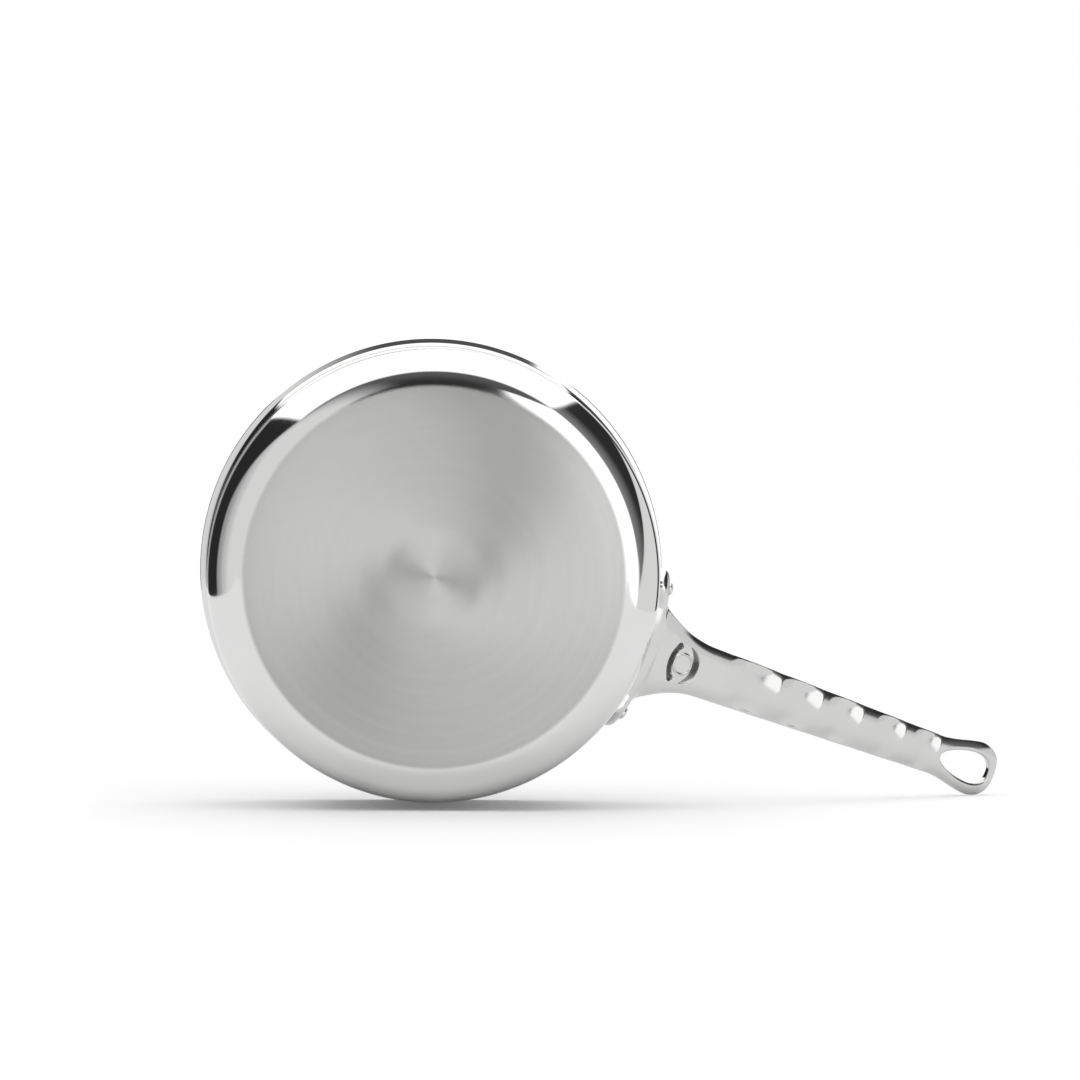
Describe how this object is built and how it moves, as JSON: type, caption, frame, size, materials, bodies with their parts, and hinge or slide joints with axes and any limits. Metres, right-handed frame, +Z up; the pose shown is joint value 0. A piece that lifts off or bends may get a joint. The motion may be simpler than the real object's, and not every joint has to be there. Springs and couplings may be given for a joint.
{
  "type": "saucepan",
  "caption": "Clad stainless saucepan with a flared pouring lip and a riveted cast handle that has finger dents and a hanging eye.",
  "frame": {"origin": "centre of the flat underside of the base", "axes": "+Z up out of the pan's mouth, +X along the handle, away from the pan"},
  "size_m": [0.3849, 0.211, 0.1777],
  "materials": {
    "outer_steel": "mirror-polished wall, circular-brushed base",
    "core_aluminium": "bare cut edge",
    "inner_steel": "satin brushed",
    "cast_steel": "satin cast",
    "rivet_steel": "polished"
  },
  "bodies": {
    "root": {"outer_steel_skin": "outer_steel", "aluminium_core": "core_aluminium", "inner_steel_skin": "inner_steel", "handle": "cast_steel", "left_rivet": "rivet_steel", "right_rivet": "rivet_steel"}
  },
  "joints": []
}
